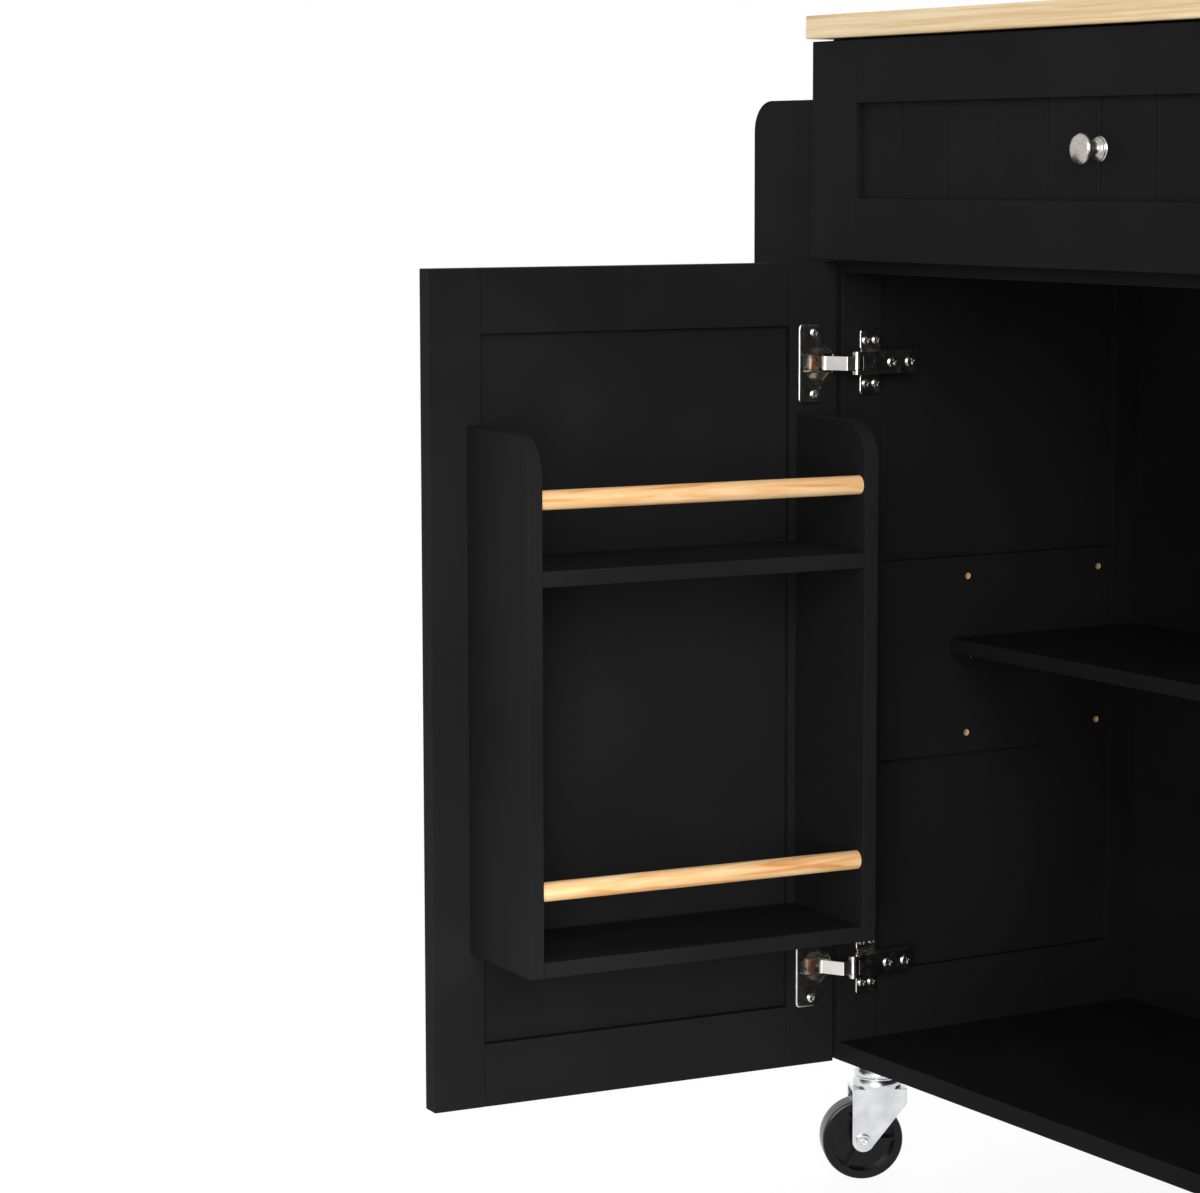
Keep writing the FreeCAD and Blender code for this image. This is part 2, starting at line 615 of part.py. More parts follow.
for thing, label in ((side_boards, "rack_sides"), (shelf_boards, "rack_shelves"), (dowels, "rack_dowels")):
    kept(put(group(thing), "pivot_x", "pivot_y", "base_z", "-door_open"), f"left_{label}")


def bar(start, end, height):
    """A flat strap on edge from one plan position to another, given from the link pin."""
    across = f"({end[0]} - ({start[0]}))"
    deep = f"({end[1]} - ({start[1]}))"
    strap = block(f"sqrt({across} ^ 2 + {deep} ^ 2)", "link_sheet", "link_width", "0", "-link_sheet / 2",
                  "-link_width / 2")
    return put(group(strap), start[0], start[1], height, f"atan2({deep}; {across})")


# Hinges: bent links on the arms of mounting plates on the ends
knee = ("(-link_knee_in)", "(-link_knee_front)")
tip = ("(-link_tip_in)", "(-link_tip_front)")
links = []
right_links = []
arms = []
plates = []
screws = []
arm_x = "inner_x + plate_thickness"
arm_half = "(link_width / 2 + ear_gap + ear_sheet)"
pin_x = "inner_x + arm_pin_in"
pin_y = "front_y + arm_pin_back"
for height in hinge_heights:
    middle = f"(base_z + {height})"
    low = "-link_width / 2"
    strap = fused(bar(("0", "0"), knee, "0"), bar(knee, tip, "0"),
                  rod("link_eye", "link_width", "z", "0", "0", low),
                  rod("link_sheet", "link_width", "z", *knee, low),
                  rod("link_sheet * 2", "link_width", "z", *tip, low))
    bore = rod("link_pin + 2 * link_play", "link_width + 2 * overrun", "z", "0", "0", f"{low} - overrun")
    link = cut(strap, bore)
    links.append(put(group(link), pin_x, pin_y, middle, "link_share * door_open"))
    right_links.append(put(group(link), pin_x, pin_y, middle, "link_share * right_door_open"))
    ears = []
    for bottom in (f"{middle} - {arm_half}", f"{middle} + {arm_half} - ear_sheet"):
        ears.append(block("2 * ear_radius", "arm_front - arm_pin_back", "ear_sheet", f"{pin_x} - ear_radius",
                          pin_y, bottom))
        ears.append(rod("2 * ear_radius", "ear_sheet", "z", pin_x, pin_y, bottom))
    arms.append(fused(
        block("arm_thickness", "arm_back - arm_front", f"2 * {arm_half}", arm_x, "front_y + arm_front",
              f"{middle} - {arm_half}"),
        rod("link_pin", f"2 * {arm_half}", "z", pin_x, pin_y, f"{middle} - {arm_half}"), *ears))
    plates.append(fused(
        block("plate_thickness", "plate_width", f"2 * {arm_half}", "inner_x", "front_y + plate_front",
              f"{middle} - {arm_half}"),
        block("plate_wing", "plate_width", "plate_length", "inner_x", "front_y + plate_front",
              f"{middle} - plate_length / 2")))
    screws += [rod("screw_head", "screw_rise", "x", "inner_x + plate_wing",
                   f"front_y + plate_front + plate_screw_in + plate_screw_pitch * {column}",
                   f"{middle} + {way} * plate_screw_height") for column in (0, 1) for way in (-1, 1)]
    screws += [rod("screw_head", "screw_rise", "x", f"{arm_x} + arm_thickness",
                   f"front_y + arm_screw_front + arm_screw_pitch * {column}", middle) for column in (0, 1)]
kept(group(*links), "left_hinge_links")
mirrored(group(*right_links), "right_hinge_links")
for pieces, label in ((arms, "hinge_arms"), (plates, "hinge_plates"), (screws, "hinge_screws")):
    mirrored(kept(group(*pieces), f"left_{label}"), f"right_{label}")

# Casters, built round the swivel axis with the wheel trailing towards -X, then placed at the corners
wheel_half = "wheel_width / 2"
rim_in = "wheel_radius - wheel_rim"
bore_at = "axle_diameter / 2 + axle_play"
profile = [(bore_at, f"-{wheel_half}"), ("wheel_hub / 2", f"-{wheel_half}"), ("wheel_hub / 2", "-wheel_web / 2"),
           (rim_in, "-wheel_web / 2"), (rim_in, f"-{wheel_half}"), ("wheel_radius - wheel_edge", f"-{wheel_half}"),
           ("wheel_radius - wheel_edge * edge_share", f"wheel_edge * edge_share - {wheel_half}"),
           ("wheel_radius", f"wheel_edge - {wheel_half}"), ("wheel_radius", f"{wheel_half} - wheel_edge"),
           ("wheel_radius - wheel_edge * edge_share", f"{wheel_half} - wheel_edge * edge_share"),
           ("wheel_radius - wheel_edge", wheel_half), (rim_in, wheel_half), (rim_in, "wheel_web / 2"),
           ("wheel_hub / 2", "wheel_web / 2"), ("wheel_hub / 2", wheel_half), (bore_at, wheel_half)]
wheel = turned(profile)
rib_sketch = sketch_in(wheel, "XY_Plane", [
    ("wheel_hub / 2 - wheel_rib / 2", "-wheel_rib / 2"), (f"{rim_in} + wheel_rib / 2", "-wheel_rib / 2"),
    (f"{rim_in} + wheel_rib / 2", "wheel_rib / 2"), ("wheel_hub / 2 - wheel_rib / 2", "wheel_rib / 2")])
rib = wheel.newObject("PartDesign::Pad", "rib")
rib.Profile = rib_sketch
rib.Midplane = True
bind(rib, Length="wheel_width - wheel_rib")
ribs = wheel.newObject("PartDesign::PolarPattern", "ribs")
ribs.Originals = [rib]
ribs.Axis = (rib_sketch, ["N_Axis"])
ribs.Angle = 360
ribs.Occurrences = round(value_of("wheel_ribs"))
wheel.Tip = ribs
wheel_piece = laid(group(wheel), "y", "-trail", "0", "wheel_radius")

cheek_outline = [("fork_nose", "fork_top"), ("fork_nose", "fork_top - fork_drop"),
                 ("toe_share * fork_toe - trail", "wheel_radius - toe_share * fork_toe"), ("-trail", "wheel_radius"),
                 ("-trail - fork_toe", "wheel_radius"), ("-trail - fork_toe", "fork_top")]
cheeks = []
for way in ("1", "-1"):
    cheek_y = f"{way} * (fork_half - fork_sheet / 2)"
    cheeks.append(put(slab("XZ_Plane", cheek_outline, "fork_sheet"), "0", cheek_y, "0"))
    cheeks.append(rod("2 * fork_toe", "fork_sheet", "y", "-trail", f"{cheek_y} - fork_sheet / 2", "wheel_radius"))
fork = cut(fused(
    *cheeks,
    block("fork_nose + trail + fork_toe", "2 * fork_half", "fork_sheet", "-trail - fork_toe", "-fork_half",
          "fork_top - fork_sheet"),
    rod("race_diameter", "race_height", "z", "0", "0", "fork_top"),
    rod("axle_diameter", "2 * fork_half", "y", "-trail", "-fork_half", "wheel_radius"),
    rod("axle_head", "axle_head_rise", "y", "-trail", "fork_half", "wheel_radius"),
    rod("axle_head", "axle_head_rise", "-y", "-trail", "-fork_half", "wheel_radius"),
), rod("kingpin_diameter + 2 * kingpin_play", "fork_sheet + race_height + 2 * overrun", "z", "0", "0",
       "fork_top - fork_sheet - overrun"))
pin_bottom = "(fork_top - fork_sheet - race_gap - kingpin_head_rise)"
mount = fused(
    block("caster_plate_width", "caster_plate_width", "caster_plate", "-caster_plate_width / 2",
          "-caster_plate_width / 2", "base_z - caster_plate"),
    cone("race_diameter", "race_top_diameter", "top_race_height", "z", "0", "0",
         "base_z - caster_plate - top_race_height"),
    rod("kingpin_diameter", f"base_z - {pin_bottom}", "z", "0", "0", pin_bottom),
    rod("kingpin_head", "kingpin_head_rise", "z", "0", "0", pin_bottom))
mounts = []
corners = [("front_left", "-1", "front_y + caster_inset", "swivel_angle"),
           ("front_right", "1", "front_y + caster_inset", "swivel_angle_front_right"),
           ("rear_left", "-1", "front_y + end_depth - caster_inset", "swivel_angle_rear_left"),
           ("rear_right", "1", "front_y + end_depth - caster_inset", "swivel_angle_rear_right")]
for name, way, y, heading in corners:
    x = f"centre_x + {way} * (half - caster_inset)"
    mounts.append(put(group(mount), x, y, "0"))
    kept(put(group(fork), x, y, "0", heading), f"{name}_caster_fork")
    kept(put(group(wheel_piece), x, y, "0", heading), f"{name}_caster_wheel")
kept(group(*mounts), "caster_mounts")

doc.recompute()
os.makedirs("parts", exist_ok=True)
for thing in doc.Objects:
    if "Invalid" in thing.State or "Error" in thing.State:
        raise RuntimeError(f"{thing.Name} ({thing.Label}) is not computed: {thing.State}")
for thing in finished:
    if thing.Shape.isNull() or not thing.Shape.isValid():
        raise RuntimeError(f"{thing.Label} has no sound shape")
    thing.Shape.exportStep(f"parts/{thing.Label}.step")
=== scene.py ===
# %% [markdown]
# A black kitchen island on casters, with its doors standing open. The solids come from the packed
# frame: they are right in size and place, but their edges are knife sharp and their metal parts
# plain. Here each board gets the eased edges of real painted board, and the knobs, screws, hinges
# and casters get their real forms. A node is a named piece of the frame, of one or more solids.

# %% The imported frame
import json
import math

import bpy
from mathutils import Matrix, Vector

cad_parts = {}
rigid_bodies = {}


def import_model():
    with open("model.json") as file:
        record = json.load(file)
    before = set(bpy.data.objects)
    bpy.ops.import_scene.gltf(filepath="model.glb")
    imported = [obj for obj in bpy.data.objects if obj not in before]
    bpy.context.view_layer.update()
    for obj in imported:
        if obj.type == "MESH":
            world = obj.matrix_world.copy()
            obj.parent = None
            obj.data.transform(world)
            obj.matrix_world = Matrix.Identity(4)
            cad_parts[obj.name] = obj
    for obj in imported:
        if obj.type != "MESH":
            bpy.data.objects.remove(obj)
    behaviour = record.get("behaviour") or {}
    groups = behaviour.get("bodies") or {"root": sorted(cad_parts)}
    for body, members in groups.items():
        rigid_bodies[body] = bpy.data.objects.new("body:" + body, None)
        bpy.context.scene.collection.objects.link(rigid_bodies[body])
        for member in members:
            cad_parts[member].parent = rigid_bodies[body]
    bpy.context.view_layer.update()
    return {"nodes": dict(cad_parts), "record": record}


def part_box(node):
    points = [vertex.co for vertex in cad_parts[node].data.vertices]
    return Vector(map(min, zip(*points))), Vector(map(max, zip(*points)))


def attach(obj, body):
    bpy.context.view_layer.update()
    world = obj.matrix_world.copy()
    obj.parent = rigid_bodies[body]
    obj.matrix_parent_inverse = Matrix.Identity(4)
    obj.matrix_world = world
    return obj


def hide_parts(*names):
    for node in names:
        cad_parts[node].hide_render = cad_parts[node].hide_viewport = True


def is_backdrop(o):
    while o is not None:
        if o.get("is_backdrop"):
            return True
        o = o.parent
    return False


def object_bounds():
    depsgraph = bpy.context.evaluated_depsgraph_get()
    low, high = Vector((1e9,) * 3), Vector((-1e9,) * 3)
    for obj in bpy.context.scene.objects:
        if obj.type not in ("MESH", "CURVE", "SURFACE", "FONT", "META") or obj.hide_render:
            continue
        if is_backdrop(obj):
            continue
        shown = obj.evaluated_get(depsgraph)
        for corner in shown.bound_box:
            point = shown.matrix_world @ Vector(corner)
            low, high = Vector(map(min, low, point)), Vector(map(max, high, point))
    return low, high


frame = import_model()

MM = 0.001
sides = ("left", "right")
body_of = {node: body for body, nodes in frame["record"]["behaviour"]["bodies"].items() for node in nodes}
slot_of = {part["node"]: part["material_slot"] for part in frame["record"]["subparts"]}
joints = frame["record"]["behaviour"]["joints"]

# %% [markdown]
# The camera stands to the right of the island and a little above its middle, with a long lens, and
# looks at the open left door. It could be moved by eye, but its numbers were fitted to corners of the
# photograph, which is surer. It comes first, because every finish is judged through it.

# %% The camera
lens = bpy.data.cameras.new("camera")
lens.lens = 107.8
lens.clip_start = 0.05
lens.clip_end = 60
camera = bpy.data.objects.new("camera", lens)
camera.location = (1.96361, -1.57921, 0.81203)
camera.rotation_euler = [math.radians(turn) for turn in (83.117, 0.121, 59.394)]
bpy.context.scene.collection.objects.link(camera)
bpy.context.scene.camera = camera
bpy.context.scene.view_settings.view_transform = "Standard"
print("camera at", tuple(round(place, 3) for place in camera.location))

# %% [markdown]
# Every finish is a small graph of nodes. One function adds a node, sets its values and links its
# inputs, so that each finish below reads as a list of what it is made of. Another turns a swatch
# code to linear light, and a third starts a finish with its shader and the object's coordinates,
# which are in metres, move with the piece and need no unwrapping.

# %% A node with its settings and links


def add(tree, kind, inputs=None, **settings):
    """A node of that kind; an input is a value, or a node or one of its outputs to link."""
    node = tree.nodes.new(kind)
    for name, value in settings.items():
        setattr(node, name, value)
    for name, value in (inputs or {}).items():
        if isinstance(value, bpy.types.Node):
            value = value.outputs[0]
        if isinstance(value, bpy.types.NodeSocket):
            tree.links.new(value, node.inputs[name])
        else:
            node.inputs[name].default_value = value
    return node


def colour(code):
    """A colour as written on a swatch, #rrggbb, turned to the linear light that shaders use."""
    parts = [int(code[start:start + 2], 16) / 255 for start in (1, 3, 5)]
    return [part / 12.92 if part <= 0.04045 else ((part + 0.055) / 1.055) ** 2.4 for part in parts] + [1]


def finish_named(name):
    """A fresh material with its tree, its shader and the object's own coordinates."""
    material = bpy.data.materials.new(name)
    material.use_nodes = True
    tree = material.node_tree
    tree.nodes.clear()
    shader = add(tree, "ShaderNodeBsdfPrincipled")
    add(tree, "ShaderNodeOutputMaterial", {"Surface": shader})
    place = add(tree, "ShaderNodeTexCoord").outputs["Object"]
    return material, tree, shader, place


print("a mid grey swatch is", round(colour("#808080")[0], 3), "in linear light")

# %% [markdown]
# Real surfaces are never even. Image textures could show that, but noise has no seams and stays
# sharp close up. All patterns here are soft noise in true millimetres, drawn out along the grain
# where there is one. A ramp turns the noise to colours or to a roughness, and a noise gives relief.

# %% Patterns and relief


def noise(tree, place, size, detail, distortion=0.0):
    """Soft noise whose spots are that many millimetres across, along and up."""
    scale = [1 / (length * MM) for length in size]
    spread = add(tree, "ShaderNodeMapping", {"Vector": place, "Scale": scale})
    return add(tree, "ShaderNodeTexNoise", {"Vector": spread, "Scale": 1.0, "Detail": detail,
                                            "Distortion": distortion})


def ramp(tree, factor, *stops):
    """Colours or greys along a factor: pairs of place and swatch code or grey."""
    node = add(tree, "ShaderNodeValToRGB", {"Fac": factor})
    band = node.color_ramp
    while len(band.elements) < len(stops):
        band.elements.new(0.5)
    for element, (where, what) in zip(band.elements, stops):
        element.position = where
        element.color = colour(what) if isinstance(what, str) else (what, what, what, 1)
    return node


def fed(node, name, source):
    """Link a source's first output to one input of a node that stands already."""
    node.id_data.links.new(source.outputs[0], node.inputs[name])


def roughened(tree, shader, height, depth):
    """Relief of the given real depth in millimetres."""
    fed(shader, "Normal", add(tree, "ShaderNodeBump", {"Height": height, "Distance": depth * MM,
                                                       "Strength": 1.0}))


print("patterns: noise and ramp; ways in: fed and roughened")

# %% [markdown]
# The cabinet is medium density fibreboard, sprayed satin black. Spraying leaves a fine orange peel,
# here 1.5 mm across, and a slow cloud of tone over a hand's length. The specular level is low: at
# the usual one, a black board in a white room turns grey, and in the photograph it stays black.

# %% Satin black paint on fibreboard
black_paint, tree, shader, place = finish_named("satin_black_paint_on_fibreboard")
peel = noise(tree, place, (1.5, 1.5, 1.5), 2.0)
cloud = noise(tree, place, (160, 160, 160), 2.0)
fed(shader, "Base Color", ramp(tree, cloud, (0.3, "#181819"), (0.7, "#1e1e1f")))
fed(shader, "Roughness", ramp(tree, cloud, (0.3, 0.58), (0.7, 0.66)))
shader.inputs["Specular IOR Level"].default_value = 0.03
roughened(tree, shader, peel, 0.02)
print("made", black_paint.name)

# %% [markdown]
# The worktop is pale rubberwood under a clear, dull lacquer. Its grain runs along the board in soft
# tan streaks a few millimetres wide, and its pores are short darker dashes less than 1 mm wide. A
# wave texture would give even bands; two noises drawn out along the board stay uneven, as wood is.

# %% Pale lacquered rubberwood
worktop_wood, tree, shader, place = finish_named("lacquered_rubberwood")
streaks = noise(tree, place, (260, 5, 5), 4.0, 0.4)
fine = noise(tree, place, (45, 0.9, 0.9), 3.0)
base = ramp(tree, streaks, (0.34, "#ddb687"), (0.48, "#edd0a4"), (0.66, "#f5e0ba"))
pores = ramp(tree, fine, (0.36, 0.84), (0.5, 1.0))
mixed = add(tree, "ShaderNodeMixRGB", {"Fac": 0.6, "Color1": base, "Color2": pores}, blend_type="MULTIPLY")
fed(shader, "Base Color", mixed)
shader.inputs["Roughness"].default_value = 0.62
shader.inputs["Specular IOR Level"].default_value = 0.15
roughened(tree, shader, fine, 0.03)
print("made", worktop_wood.name)

# %% [markdown]
# The rails of the racks are turned pine dowels, bare. Pine has wide pale spring growth and narrow
# orange summer growth, so a dowel shows long bands 2 to 6 mm wide that run out slowly. A distorted
# noise, drawn out along the dowel, makes bands that widen and end, which straight stripes never do.

# %% Turned pine
pine, tree, shader, place = finish_named("turned_pine")
bands = noise(tree, place, (5.5, 130, 5.5), 2.5, 0.6)
fibres = noise(tree, place, (0.8, 40, 0.8), 2.0)
tone = ramp(tree, bands, (0.32, "#d59558"), (0.42, "#e7b47b"), (0.58, "#efc692"), (0.75, "#f4d5aa"))
thread = ramp(tree, fibres, (0.35, 0.92), (0.55, 1.0))
mixed = add(tree, "ShaderNodeMixRGB", {"Fac": 0.6, "Color1": tone, "Color2": thread}, blend_type="MULTIPLY")
fed(shader, "Base Color", mixed)
shader.inputs["Roughness"].default_value = 0.45
roughened(tree, shader, fibres, 0.03)
print("made", pine.name)

# %% [markdown]
# Where a hole is drilled, the bare fibreboard shows: tan, dull and a little furry. One fine noise
# makes both the specks and the fur, because in the real board both are the same torn fibres.

# %% Bare fibreboard
bare_board, tree, shader, place = finish_named("bare_fibreboard")
fur = noise(tree, place, (0.5, 0.5, 0.5), 3.0)
fed(shader, "Base Color", ramp(tree, fur, (0.3, "#d0a070"), (0.7, "#ecc594")))
shader.inputs["Roughness"].default_value = 0.9
roughened(tree, shader, fur, 0.08)
print("made", bare_board.name)

# %% [markdown]
# Plated metals. The knobs are cast zinc under brushed nickel. The hinges are pressed steel under
# bright nickel, and their links under satin nickel. The casters are pressed steel under bright zinc,
# a little cooler and cloudier, and the drawer's runners are galvanised. One function makes them all:
# they differ only in tint, roughness and the size of the spots over which both wander a little.

# %% The metals


def plated(name, dark, light, low, high, spot, depth):
    """A plated metal: its tint and roughness wander over spots of the given size in millimetres."""
    material, tree, shader, place = finish_named(name)
    cloud = noise(tree, place, spot, 3.0)
    fed(shader, "Base Color", ramp(tree, cloud, (0.3, dark), (0.7, light)))
    fed(shader, "Roughness", ramp(tree, cloud, (0.3, low), (0.7, high)))
    shader.inputs["Metallic"].default_value = 1.0
    roughened(tree, shader, cloud, depth)
    print("made", name)
    return material


brushed_nickel = plated("brushed_nickel_on_cast_zinc", "#a8a39e", "#c6c1bb", 0.28, 0.36, (3, 3, 1.2), 0.01)
bright_nickel = plated("bright_nickel_on_pressed_steel", "#c6c4c0", "#dad9d5", 0.2, 0.28, (6, 6, 6), 0.01)
bright_zinc = plated("bright_zinc_on_pressed_steel", "#cfd1d3", "#e2e4e5", 0.2, 0.28, (14, 14, 14), 0.02)
satin_nickel = plated("satin_nickel_on_pressed_steel", "#e6e4e0", "#f0eeea", 0.3, 0.38, (6, 6, 6), 0.01)
runner_steel = plated("galvanised_runner_steel", "#b9bcbd", "#d2d4d4", 0.35, 0.45, (4, 4, 4), 0.01)

# %% [markdown]
# Two plastics. The wheels are glossy black polypropylene, with a faint waviness from the mould. The
# rollers of the runners are white nylon, which is duller. The waviness is a slow noise in the relief;
# the colour hardly changes, because moulded plastic is the same right through.

# %% The plastics


def moulded(name, dark, light, roughness, wave, gloss):
    """A moulded plastic with a slow wave of the given size in millimetres."""
    material, tree, shader, place = finish_named(name)
    slow = noise(tree, place, (wave, wave, wave), 1.0)
    fed(shader, "Base Color", ramp(tree, slow, (0.3, dark), (0.7, light)))
    shader.inputs["Roughness"].default_value = roughness
    shader.inputs["Specular IOR Level"].default_value = gloss
    roughened(tree, shader, slow, 0.05)
    print("made", name)
    return material


wheel_plastic = moulded("glossy_black_polypropylene", "#0a0a0a", "#0f0f0f", 0.2, 7, 0.2)
roller_nylon = moulded("white_nylon", "#dedbd2", "#ebe8e0", 0.5, 4, 0.5)

# %% [markdown]
# The record names a material slot for every node. The finish of that slot goes on the plain solids
# first, so that those which are not dressed any further have it too.

# %% Finishes on the solids
finish_of_slot = {"black_painted_wood": black_paint, "worktop_wood": worktop_wood, "pine": pine,
                  "brushed_nickel": brushed_nickel, "nickel_plate": bright_nickel, "zinc_steel": bright_zinc,
                  "black_nylon": wheel_plastic, "white_nylon": roller_nylon, "white_steel": runner_steel}
for name, node in frame["nodes"].items():
    node.data.materials.clear()
    node.data.materials.append(finish_of_slot[slot_of[name]])
print("finishes on", len(frame["nodes"]), "nodes")

# %% [markdown]
# Three small functions serve every piece below: one makes it the piece that operators act on, one
# runs a list of edit mode operators on it, and one settles it, with its finish and body.
# Operators depend on what is selected, so the selection is made in as few places as can be.

# %% Working on a piece


def only(piece):
    """Make a piece the one that operators act on."""
    bpy.ops.object.select_all(action="DESELECT")
    piece.select_set(True)
    bpy.context.view_layer.objects.active = piece


def worked(piece, *steps):
    """Run edit mode operators on the whole of a piece; each step is an operator and its settings."""
    only(piece)
    bpy.ops.object.mode_set(mode="EDIT")
    bpy.ops.mesh.select_all(action="SELECT")
    for operator, settings in steps:
        operator(**settings)
    bpy.ops.object.mode_set(mode="OBJECT")


def settled(piece, finish, body, slot, *nodes):
    """Give a piece its finish and its body, and let it stand for the named nodes; the slot is not used."""
    piece.data.materials.clear()
    piece.data.materials.append(finish)
    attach(piece, body)
    if nodes:
        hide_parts(*nodes)
    return piece


print("tools for a piece: only, worked and settled")

# %% [markdown]
# Painted boards have their edges eased with a sanding block before they are sprayed, to a round of
# almost 1 mm. That round catches the light and draws the outline of each black board. A node is
# copied, its loose triangles are merged back to faces, and a bevel rounds the edges. A bevel in the
# shader would be quicker, but the mesh itself would stay sharp. Weighted normals keep faces flat.

# %% Eased edges
crease = math.radians(35)
copy_steps, plate_steps = 2, 3
satin_nodes = {side + "_hinge_links" for side in sides}


def flattened(piece, crisp=False):
    """Let the broad faces keep their own shading, so that only the narrow rounds bend the light."""
    only(piece)
    if crisp:
        bpy.ops.mesh.customdata_custom_splitnormals_clear()
        bpy.ops.object.shade_smooth_by_angle(angle=crease)
    weigh = piece.modifiers.new("weigh", "WEIGHTED_NORMAL")
    weigh.mode = "FACE_AREA"
    weigh.weight = 100
    weigh.keep_sharp = crisp
    bpy.ops.object.modifier_apply(modifier=weigh.name)


def rounded(piece, width, steps):
    """Round every sharp edge of a piece with a bevel that many millimetres wide."""
    bevel = piece.modifiers.new("eased", "BEVEL")
    bevel.width = width * MM
    bevel.segments = steps
    bevel.limit_method = "ANGLE"
    bevel.angle_limit = crease
    bpy.ops.object.shade_smooth()
    bpy.ops.object.modifier_apply(modifier=bevel.name)
    flattened(piece)


def eased(node, width):
    """A copy of a node with every sharp edge rounded, in the node's place."""
    piece = bpy.data.objects.new(node + "_eased", frame["nodes"][node].data.copy())
    bpy.context.scene.collection.objects.link(piece)
    worked(piece, (bpy.ops.mesh.remove_doubles, {"threshold": 0.002 * MM}),
           (bpy.ops.mesh.dissolve_limited, {"angle_limit": math.radians(1)}))
    rounded(piece, width, copy_steps)
    finish = satin_nickel if node in satin_nodes else finish_of_slot[slot_of[node]]
    return settled(piece, finish, body_of[node], slot_of[node], node)


print("an edge counts as sharp from", round(math.degrees(crease)), "degrees")

# %% [markdown]
# Some nodes are made anew further down. The worktop, whose edges are round already, the beaded
# panels and the boards with hidden edges stay as they are. All others are eased here: boards by
# almost 1 mm, wheels by a little less, dowels and steel by a third of a millimetre.

# %% The solids that are eased
board_round, steel_round = 0.8, 0.35
round_of_slot = {"black_painted_wood": board_round, "black_nylon": 0.6, "pine": 0.3}
remade = {side + kind for side in sides for kind in ("_hinge_screws", "_cup_screws", "_hinge_cups",
                                                     "_hinge_plates", "_door_stiles", "_door_knob")}
remade |= {"drawer_knob", "drawer_front_frame"}
left_as_solid = {"drawer_box_boards", "drawer_bottom", "drawer_front_panel", "left_door_panel",
                 "right_door_panel", "left_end_panels", "right_end_panels", "back_panel",
                 "top_stretchers", "worktop"}
to_ease = [node for node in frame["nodes"] if node not in remade | left_as_solid]
for node in to_ease:
    eased(node, round_of_slot.get(slot_of[node], steel_round))
print("eased", len(to_ease), "nodes")

# %% [markdown]
# New boards and pressings start from a plate: a block between two corners, with eased edges and,
# where asked, four round corners about one axis. The corners come first, so that the eased edge runs
# round them too. A plate can be turned to a door's place.

# %% A plate


def plate(low, high, edge, corner=0, axis=0, place=None):
    """A block between two corners in millimetres, its edges eased, its corners round about an axis."""
    bpy.ops.object.select_all(action="DESELECT")
    middle = [(start + end) / 2 * MM for start, end in zip(low, high)]
    bpy.ops.mesh.primitive_cube_add(size=1, location=middle)
    piece = bpy.context.object
    piece.scale = [(end - start) * MM for start, end in zip(low, high)]
    bpy.ops.object.transform_apply(location=True, rotation=True, scale=True)
    if corner:
        bpy.ops.object.mode_set(mode="EDIT")
        bpy.ops.mesh.select_mode(type="EDGE")
        bpy.ops.mesh.select_all(action="DESELECT")
        bpy.ops.object.mode_set(mode="OBJECT")
        points = piece.data.vertices
        for line in piece.data.edges:
            way = points[line.vertices[0]].co - points[line.vertices[1]].co
            line.select = abs(way[axis]) > 0.9 * way.length
        bpy.ops.object.mode_set(mode="EDIT")
        bpy.ops.mesh.bevel(offset=corner * MM, segments=5, affect="EDGES")
        bpy.ops.object.mode_set(mode="OBJECT")
    if place is not None:
        piece.data.transform(place)
        worked(piece, (bpy.ops.mesh.normals_make_consistent, {"inside": False}))
    rounded(piece, edge, plate_steps)
    return piece


print("a plate's edges are rounded in", plate_steps, "steps, a copied node's in", copy_steps)

# %% [markdown]
# Pieces that belong together become one object with join. Where metal is punched or welded, the
# Boolean modifier cuts or adds. Where it can be, what a piece has to fit is measured on the solids,
# so that fewer numbers are written twice.

# %% Measures, joins and cuts


def span(node, start, way):
    """How far a node goes along a direction from a start, at least and at most, in millimetres."""
    lengths = [(vertex.co - start).dot(way) / MM for vertex in frame["nodes"][node].data.vertices]
    return min(lengths), max(lengths)


def joined(name, pieces):
    """Several pieces as one, under a new name."""
    only(pieces[0])
    for piece in pieces:
        piece.select_set(True)
    if len(pieces) > 1:
        bpy.ops.object.join()
    pieces[0].name = name
    return pieces[0]


def combined(piece, other, operation):
    """Add another piece to a piece, or cut it away, with the Boolean modifier."""
    only(piece)
    step = piece.modifiers.new("step", "BOOLEAN")
    step.operation = operation
    step.solver = "EXACT"
    step.object = other
    bpy.ops.object.modifier_apply(modifier=step.name)
    bpy.data.objects.remove(other, do_unlink=True)


left, right = span("drawer_front_frame", Vector(), Vector((1, 0, 0)))
print("the drawer front is", round(right - left), "mm wide")

# %% [markdown]
# The mushroom knob is turned on a lathe, and so is this one: one outline, spun round its axis. It
# goes from the stepped rosette in a hollow curve to a thin neck and out again to the domed head. The
# Screw modifier could do it too; spun in edit mode, the mesh is closed at once and ready to cut.

# %% The outline of a knob


def spun(name, outline, steps):
    """A closed shape spun round the Z axis from pairs of radius and height in millimetres."""
    mesh = bpy.data.meshes.new(name)
    mesh.from_pydata([(radius * MM, 0, height * MM) for radius, height in outline],
                     [(index, index + 1) for index in range(len(outline) - 1)], [])
    piece = bpy.data.objects.new(name, mesh)
    bpy.context.scene.collection.objects.link(piece)
    worked(piece, (bpy.ops.mesh.spin, {"steps": steps, "angle": 2 * math.pi, "center": (0, 0, 0),
                                       "axis": (0, 0, 1)}))
    worked(piece, (bpy.ops.mesh.remove_doubles, {"threshold": 0.01 * MM}),
           (bpy.ops.mesh.normals_make_consistent, {"inside": False}))
    return piece


